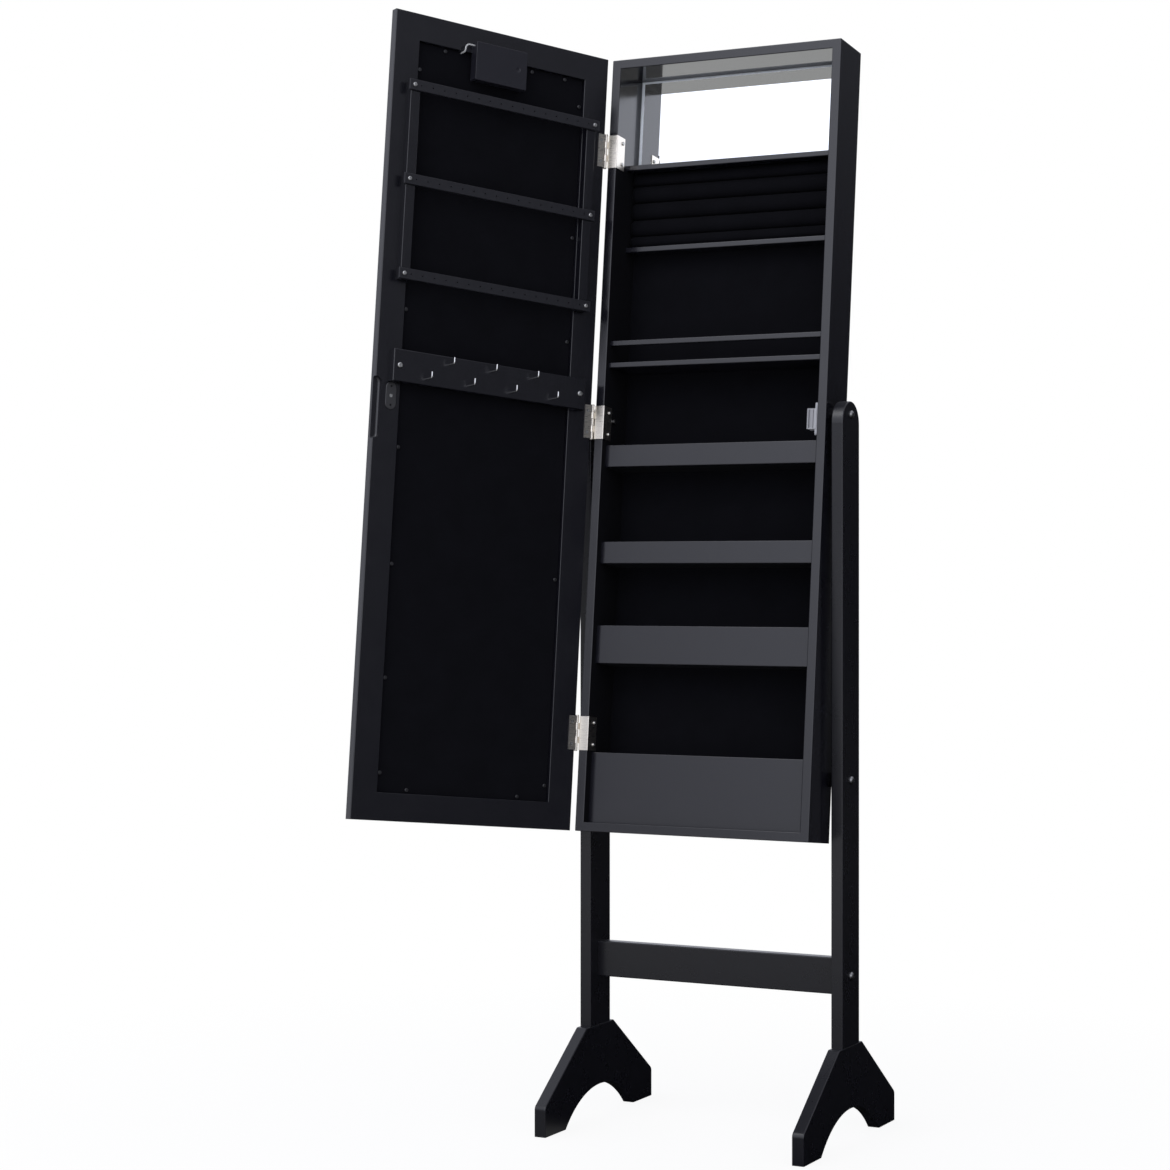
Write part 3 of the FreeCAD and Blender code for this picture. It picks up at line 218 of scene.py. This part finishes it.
def satin_paint(name, tone=0.005, gloss=0.22, ior=1.6):
    """Sprayed satin black: a faint orange peel and a sheen that varies a little over a board."""
    material, tree, shader = start_material(name)
    patches = object_noise(tree, 9.0, detail=3.0)
    darker = (tone, tone, tone * 1.5)
    lighter = (tone * 1.16, tone * 1.16, tone * 1.7)
    tree.links.new(blend_colours(tree, patches, darker, lighter), shader.inputs["Base Color"])
    sheen = remap(tree, object_noise(tree, 40.0, detail=4.0), gloss, gloss + 0.05)
    tree.links.new(sheen, shader.inputs["Roughness"])
    shader.inputs["IOR"].default_value = ior
    peel = add_bump(tree, shader, object_noise(tree, 320.0), strength=0.10, distance=0.0002)
    grit = object_noise(tree, 2600.0, detail=1.0)
    add_bump(tree, shader, grit, strength=0.10, distance=0.00005, below=peel)
    return material


def velvet(name, tone=0.0022):
    """Black flock: hardly any gloss, a thin sheen at a slant, and a nap with faint patches."""
    material, tree, shader = start_material(name)
    patches = object_noise(tree, 26.0, detail=4.0, roughness=0.6)
    darker = (tone, tone, tone * 1.4)
    lighter = (tone * 1.9, tone * 1.9, tone * 2.7)
    tree.links.new(blend_colours(tree, patches, darker, lighter), shader.inputs["Base Color"])
    set_sockets(shader, FLOCK)
    shader.inputs["Sheen Tint"].default_value = (0.75, 0.78, 0.85, 1)
    strokes = object_noise(tree, 150.0, detail=3.0, roughness=0.6)
    nap = add_bump(tree, shader, strokes, strength=0.25, distance=0.0004)
    add_bump(tree, shader, object_noise(tree, 2200.0), strength=0.5, distance=0.0002, below=nap)
    return material


def cabinet_board():
    """Satin paint, with velvet on the inner faces below the mirror's shelf. The ceiling over
    the mirror is polished."""
    material = satin_paint("Cabinet_board", gloss=0.15)
    tree = material.node_tree
    paint = tree.nodes["Principled BSDF"]
    cloth = second_finish(tree, (0.003, 0.003, 0.0042), FLOCK)
    add_bump(tree, cloth, object_noise(tree, 2200.0), strength=0.5, distance=0.0002)
    polish = second_finish(tree, (0.006, 0.006, 0.009), POLISH)
    across, depth, height = upright_parts(tree)
    within = join_values(tree, "LESS_THAN", across, INNER_FACE)
    behind = join_values(tree, "GREATER_THAN", depth, INNER_START)
    inner = join_values(tree, "MULTIPLY", within, behind)
    ceiling = join_values(tree, "MULTIPLY", inner, between(tree, height, *CEILING_FACE))
    lined = join_values(tree, "MULTIPLY", inner, between(tree, height, *LINED))
    bare = blend_shaders(tree, ceiling, paint, polish)
    set_surface(tree, blend_shaders(tree, lined, bare, cloth))
    return material


def back_board():
    """Hardboard: velvet on the face inside the cabinet, a thin matt black coat behind."""
    material = velvet("Back_board")
    tree = material.node_tree
    coat = tree.nodes.new("ShaderNodeBsdfPrincipled")
    coat.inputs["Roughness"].default_value = 0.5
    grain = object_noise(tree, 60.0, detail=4.0, roughness=0.6)
    black = blend_colours(tree, grain, (0.014, 0.014, 0.017), (0.024, 0.024, 0.028))
    tree.links.new(black, coat.inputs["Base Color"])
    fibres = object_noise(tree, 700.0, detail=3.0)
    add_bump(tree, coat, fibres, strength=0.25, distance=0.0001)
    rear = join_values(tree, "GREATER_THAN", upright_parts(tree)[1], BACK_MIDDLE)
    set_surface(tree, blend_shaders(tree, rear, tree.nodes["Principled BSDF"], coat))
    return material


def brushed_metal(name, colour, roughness, stretch=(1, 1, 30), scale=90.0):
    """Plated sheet or bar: fine draw lines one way, and a roughness that follows them."""
    material, tree, shader = start_material(name)
    lines = object_noise(tree, scale, detail=3.0, roughness=0.6, stretch=stretch)
    darker = tuple(c * 0.86 for c in colour)
    tree.links.new(blend_colours(tree, lines, darker, colour), shader.inputs["Base Color"])
    worn = remap(tree, lines, roughness * 0.8, roughness * 1.25)
    tree.links.new(worn, shader.inputs["Roughness"])
    shader.inputs["Metallic"].default_value = 1.0
    add_bump(tree, shader, lines, strength=0.08, distance=0.0001)
    return material


def silvered_glass(name="Silvered_glass"):
    material, tree, shader = start_material(name)
    haze = object_noise(tree, 7.0, detail=3.0)
    silver = blend_colours(tree, haze, (0.93, 0.945, 0.94), (0.95, 0.96, 0.955))
    tree.links.new(silver, shader.inputs["Base Color"])
    tree.links.new(remap(tree, haze, 0.005, 0.02), shader.inputs["Roughness"])
    shader.inputs["Metallic"].default_value = 1.0
    return material


def mirror_with_ground_rim():
    """Silvered face. Its bevel and a narrow border at the sides and top are a pale frost. Its
    shading normal is fixed to face the front: a painted highlight for the light ground glass sends
    forward."""
    material = silvered_glass("Rimmed_glass")
    tree = material.node_tree
    frost = second_finish(tree, (0.84, 0.88, 0.90), {"Roughness": 0.3})
    grain = add_bump(tree, frost, object_noise(tree, 900.0), strength=0.2, distance=0.0001)
    # Painted highlight: the frost is shaded as if it faced the front, whichever way the bevel
    # turns.
    painted_front_normal = tree.nodes.new("ShaderNodeCombineXYZ")
    for entry, share in zip(painted_front_normal.inputs, (0.0, -math.cos(LEAN), math.sin(LEAN))):
        entry.default_value = share
    tree.links.new(painted_front_normal.outputs["Vector"], grain.inputs["Normal"])
    across, _, height = upright_parts(tree)
    side = join_values(tree, "GREATER_THAN", across, RIM_SIDE)
    top = join_values(tree, "GREATER_THAN", height, RIM_TOP)
    rim = join_values(tree, "MAXIMUM", side, top)
    set_surface(tree, blend_shaders(tree, rim, tree.nodes["Principled BSDF"], frost))
    return material


def moulded_plastic(name, colour, roughness):
    """Injection moulding with a fine spark grain."""
    material, tree, shader = start_material(name)
    patches = object_noise(tree, 30.0, detail=3.0)
    lighter = tuple(c * 1.18 for c in colour)
    tree.links.new(blend_colours(tree, patches, colour, lighter), shader.inputs["Base Color"])
    dull = remap(tree, object_noise(tree, 200.0), roughness, roughness * 1.2)
    tree.links.new(dull, shader.inputs["Roughness"])
    shader.inputs["Specular IOR Level"].default_value = 0.45
    add_bump(tree, shader, object_noise(tree, 900.0), strength=0.25, distance=0.0001)
    return material


def frosted_strip():
    material, tree, shader = start_material("Frosted_strip")
    milk = blend_colours(tree, object_noise(tree, 60.0), (0.80, 0.80, 0.78), (0.86, 0.86, 0.84))
    tree.links.new(milk, shader.inputs["Base Color"])
    set_sockets(shader, {"Roughness": 0.45, "Subsurface Weight": 0.15,
                         "Subsurface Radius": (0.004, 0.004, 0.004)})
    add_bump(tree, shader, object_noise(tree, 1500.0), strength=0.15, distance=0.0001)
    return material


def dress(nodes, material, *names):
    for name in names:
        nodes[name].data.materials.clear()
        nodes[name].data.materials.append(material)


def dress_boards(nodes):
    dress(nodes, satin_paint("Stand_paint", tone=0.0045, gloss=0.26, ior=1.5),
          "post_left", "post_right", "foot_left", "foot_right", "stretcher")
    dress(nodes, satin_paint("Door_paint"), "hinge_stile", "pull_stile", "top_rail",
          "bottom_rail", "batten_hinge_side", "batten_pull_side", "necklace_rail")
    dress(nodes, cabinet_board(), "side_left", "side_right", "top_panel", "bottom_panel")
    dress(nodes, satin_paint("Tray_paint", tone=0.0065),
          "upper_tray_front", "middle_tray_front", "lower_tray_front", "bin_front",
          "mirror_shelf", "ring_board", "bottle_shelf", "guard_rail")
    dress(nodes, velvet("Velvet_lining"), "backing_panel", "ring_pad",
          "upper_tray_shelf", "middle_tray_shelf", "lower_tray_shelf")
    dress(nodes, back_board(), "back_panel")
    dress(nodes, mirror_with_ground_rim(), "inner_mirror")
    dress(nodes, silvered_glass(), "door_mirror")
    dress(nodes, frosted_strip(), "light_strip")


def dress_metal(nodes):
    dress(nodes, brushed_metal("Nickel_hinge", (0.88, 0.83, 0.74), 0.30),
          "hinge_cabinet_leaves", "hinge_door_leaves", "hinge_pins", "battery_contacts")
    dress(nodes, brushed_metal("Chromed_wire", (0.82, 0.82, 0.82), 0.12), "necklace_hooks")
    dress(nodes, brushed_metal("Zinc_screw", (0.66, 0.66, 0.65), 0.3, EVEN, 600.0),
          "cabinet_screws", "hinge_door_screws", "rack_screws", "strike_screw")
    dress(nodes, brushed_metal("Blackened_screw", (0.10, 0.10, 0.105), 0.38, EVEN, 600.0),
          "backing_screws")
    dress(nodes, brushed_metal("Bolt_steel", (0.34, 0.34, 0.34), 0.34, EVEN, 400.0),
          "stretcher_bolts", "stop_bolts", "foot_bolts", "pivot_bolts")
    dress(nodes, brushed_metal("Insert_steel", (0.05, 0.05, 0.05), 0.45), "pivot_inserts")
    dress(nodes, brushed_metal("Strike_steel", (0.12, 0.12, 0.125), 0.42, EVEN, 500.0),
          "strike_plate")
    dress(nodes, brushed_metal("Catch_poles", (0.30, 0.30, 0.31), 0.4), "catch_magnet")
    dress(nodes, brushed_metal("Cell_sleeve", (0.5, 0.5, 0.52), 0.35), "battery_cells")


def dress_plastic(nodes):
    dress(nodes, moulded_plastic("Bumper_rubber", (0.012, 0.012, 0.012), 0.75), "stop_bumpers")
    dress(nodes, moulded_plastic("Spacer_plastic", (0.012, 0.012, 0.013), 0.5), "pivot_spacers")
    dress(nodes, moulded_plastic("Earring_bar_plastic", (0.009, 0.009, 0.012), 0.38),
          "earring_bar_upper", "earring_bar_middle", "earring_bar_lower")
    dress(nodes, moulded_plastic("Catch_plastic", (0.30, 0.30, 0.31), 0.5), "catch_body")
    dress(nodes, moulded_plastic("Battery_box_plastic", (0.010, 0.010, 0.014), 0.3),
          "battery_case", "battery_cover")
    dress(nodes, moulded_plastic("Lead_sleeve", (0.36, 0.36, 0.35), 0.5), "light_lead")


# Pieces modelled here

def finish_piece(mesh, name, material, to_row):
    bmesh.ops.transform(mesh, matrix=to_row, verts=mesh.verts)
    bmesh.ops.recalc_face_normals(mesh, faces=mesh.faces)
    data = bpy.data.meshes.new(name)
    mesh.to_mesh(data)
    mesh.free()
    for face in data.polygons:
        face.use_smooth = True
    data.materials.append(material)
    piece = bpy.data.objects.new(name, data)
    bpy.context.scene.collection.objects.link(piece)
    return piece


def uncut_edges(mesh):
    """The edges that run along the pad and aren't cut yet: those of the newest roll."""
    return [edge for edge in mesh.edges
            if abs(edge.verts[0].co.x - edge.verts[1].co.x) > PAD_HALF]


def ring_roll(mesh, low, high, seed):
    """One foam roll: a bar with a round front, drawn in at its ends, its cover a little uneven."""
    made = bmesh.ops.create_cube(mesh, size=1.0)["verts"]
    size = Matrix.Diagonal((2 * PAD_HALF, PAD_REAR - PAD_FRONT, high - low, 1))
    centre = Matrix.Translation((0, (PAD_REAR + PAD_FRONT) / 2, (low + high) / 2))
    bmesh.ops.transform(mesh, matrix=centre @ size, verts=made)
    front_edges = [edge for edge in uncut_edges(mesh) if edge.verts[0].co.y < PAD_FRONT + NEAR]
    bmesh.ops.bevel(mesh, geom=front_edges, offset=(high - low) * ROLL_ROUND,
                    offset_type="OFFSET", segments=ROUND_STEPS, profile=0.5, affect="EDGES",
                    material=-1)
    bmesh.ops.subdivide_edges(mesh, edges=uncut_edges(mesh), cuts=LENGTH_CUTS,
                              use_grid_fill=True)
    middle = (low + high) / 2
    for vert in [v for v in mesh.verts if low - NEAR <= v.co.z <= high + NEAR]:
        end = max(0.0, (abs(vert.co.x) - (PAD_HALF - END_LENGTH)) / END_LENGTH)
        draw = 1 - math.sqrt(max(0.0, 1 - end * end))
        front = (PAD_REAR - vert.co.y) / (PAD_REAR - PAD_FRONT)
        vert.co.y += draw * END_DRAW * front
        vert.co.z = middle + (vert.co.z - middle) * (1 - END_THINNING * draw * front)
        place = Vector((vert.co.x * RIPPLES[0], vert.co.z * RIPPLES[1], seed))
        vert.co.y += (0.5 + 0.5 * noise.noise(place)) * RIPPLE_DEPTH * front


def ring_rolls(material):
    mesh = bmesh.new()
    centre = (PAD_LOW + PAD_HIGH) / 2
    slots = [centre + (row - (ROLLS - 2) / 2) * ROLL_PITCH for row in range(ROLLS - 1)]
    lows = [PAD_LOW] + [slot + HALF_SLOT for slot in slots]
    highs = [slot - HALF_SLOT for slot in slots] + [PAD_HIGH]
    for index, (low, high) in enumerate(zip(lows, highs)):
        ring_roll(mesh, low, high, index * RIPPLE_STEP)
    return finish_piece(mesh, "ring_rolls", material, upright_to_row())


# Stage

def seen_directly(tree):
    """1 for what the camera sees straight or through glass."""
    path = tree.nodes.new("ShaderNodeLightPath")
    return join_values(tree, "MAXIMUM", path.outputs["Is Camera Ray"],
                       path.outputs["Is Transmission Ray"])


def vector_step(tree, operation, vector):
    node = tree.nodes.new("ShaderNodeVectorMath")
    node.operation = operation
    tree.links.new(vector, node.inputs[0])
    return node


def floor_paper():
    """White paper, seen almost plain white, with a faint shadow near the piece. Seen in a gloss it
    is a painted reflection that glows, bright before the piece and dark behind it to the right."""
    material, tree, paper = start_material("Floor_paper")
    set_sockets(paper, {"Base Color": (0.85, 0.85, 0.85, 1), "Roughness": 0.9,
                        "Specular IOR Level": 0.1})
    place = tree.nodes.new("ShaderNodeTexCoord").outputs["Object"]
    away = vector_step(tree, "LENGTH", place).outputs["Value"]
    way = vector_step(tree, "NORMALIZE", place).outputs["Vector"]
    # Painted reflection: seen in a gloss the floor glows, brightest before the piece, dark behind
    # it to the right, and fading with distance.
    bright = join_values(tree, "ADD", towards(tree, way, *FLOOR_PAINTED_REFLECTION), FLOOR_PAINTED_REFLECTION_BASE)
    faded = remap(tree, away, 0.20, 1.0, start=0.5, end=3.4)
    painted_reflection_glow = tree.nodes.new("ShaderNodeEmission")
    tree.links.new(join_values(tree, "MULTIPLY", bright, faded), painted_reflection_glow.inputs["Strength"])
    clear = remap(tree, away, 0.90, 1.0, start=0.35, end=1.3)
    share = join_values(tree, "MULTIPLY", clear, seen_directly(tree))
    white = tree.nodes.new("ShaderNodeEmission")
    path = tree.nodes.new("ShaderNodeLightPath")
    straight = blend_shaders(tree, share, paper, white)
    set_surface(tree, blend_shaders(tree, path.outputs["Is Glossy Ray"], straight, painted_reflection_glow))
    return material


def stage_floor():
    mesh = bmesh.new()
    bmesh.ops.create_circle(mesh, cap_ends=True, segments=96, radius=FLOOR_RADIUS)
    data = bpy.data.meshes.new("floor")
    mesh.to_mesh(data)
    mesh.free()
    data.materials.append(floor_paper())
    floor = bpy.data.objects.new("floor", data)
    bpy.context.scene.collection.objects.link(floor)


def studio_world():
    """White to the eye. Its light comes from above in front, from overhead, from both sides and
    from behind on the left."""
    world = bpy.data.worlds.new("studio")
    bpy.context.scene.world = world
    world.use_nodes = True
    tree = world.node_tree
    background = tree.nodes["Background"]
    white = (1, 1, 1)
    colour = blend_colours(tree, seen_directly(tree), STUDIO_TINT, white)
    tree.links.new(colour, background.inputs["Color"])
    way = tree.nodes.new("ShaderNodeTexCoord").outputs["Generated"]
    total = STUDIO_BASE
    for light in STUDIO_LIGHT:
        total = join_values(tree, "ADD", total, towards(tree, way, *light))
    mix = tree.nodes.new("ShaderNodeMix")
    mix.data_type = "FLOAT"
    mix.inputs["B"].default_value = 1.0
    tree.links.new(total, mix.inputs["A"])
    tree.links.new(seen_directly(tree), mix.inputs["Factor"])
    tree.links.new(mix.outputs["Result"], background.inputs["Strength"])


def softbox(name, place, aim, wide, tall, power):
    light = bpy.data.lights.new(name, "AREA")
    light.shape = "RECTANGLE"
    light.size = wide
    light.size_y = tall
    light.energy = power
    lamp = bpy.data.objects.new(name, light)
    lamp.location = place
    lamp.rotation_euler = (Vector(aim) - Vector(place)).to_track_quat("-Z", "Y").to_euler()
    bpy.context.scene.collection.objects.link(lamp)


def stage_lights():
    softbox("key", (-0.8, -2.0, 3.6), aim=(0.0, 0.0, 0.8), wide=1.6, tall=1.6, power=17)
    softbox("fill", (2.7, -1.5, 1.3), aim=(0.0, 0.0, 0.7), wide=1.0, tall=1.6, power=2.5)


def stage_camera():
    camera = bpy.data.cameras.new("camera")
    camera.sensor_width = SENSOR
    camera.lens = LENS
    camera.shift_x, camera.shift_y = SHIFT
    camera.clip_start, camera.clip_end = CLIP
    eye = bpy.data.objects.new("camera", camera)
    eye.location = CAMERA_AT
    eye.rotation_euler = (math.pi / 2, 0, CAMERA_YAW)
    bpy.context.scene.collection.objects.link(eye)
    bpy.context.scene.camera = eye
    bpy.context.scene.view_settings.view_transform = "Standard"


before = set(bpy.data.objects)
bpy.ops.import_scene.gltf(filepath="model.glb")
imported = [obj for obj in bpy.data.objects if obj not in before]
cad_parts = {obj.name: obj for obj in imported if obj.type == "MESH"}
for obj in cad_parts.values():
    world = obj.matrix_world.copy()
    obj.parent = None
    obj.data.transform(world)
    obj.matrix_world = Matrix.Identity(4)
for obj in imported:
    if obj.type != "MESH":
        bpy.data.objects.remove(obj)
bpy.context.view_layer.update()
dress_boards(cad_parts)
dress_metal(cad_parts)
dress_plastic(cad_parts)
pad = ring_rolls(velvet("Velvet_rolls", 0.0020))
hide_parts("ring_pad")
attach(pad, "cabinet")
stage_floor()
studio_world()
stage_lights()
stage_camera()
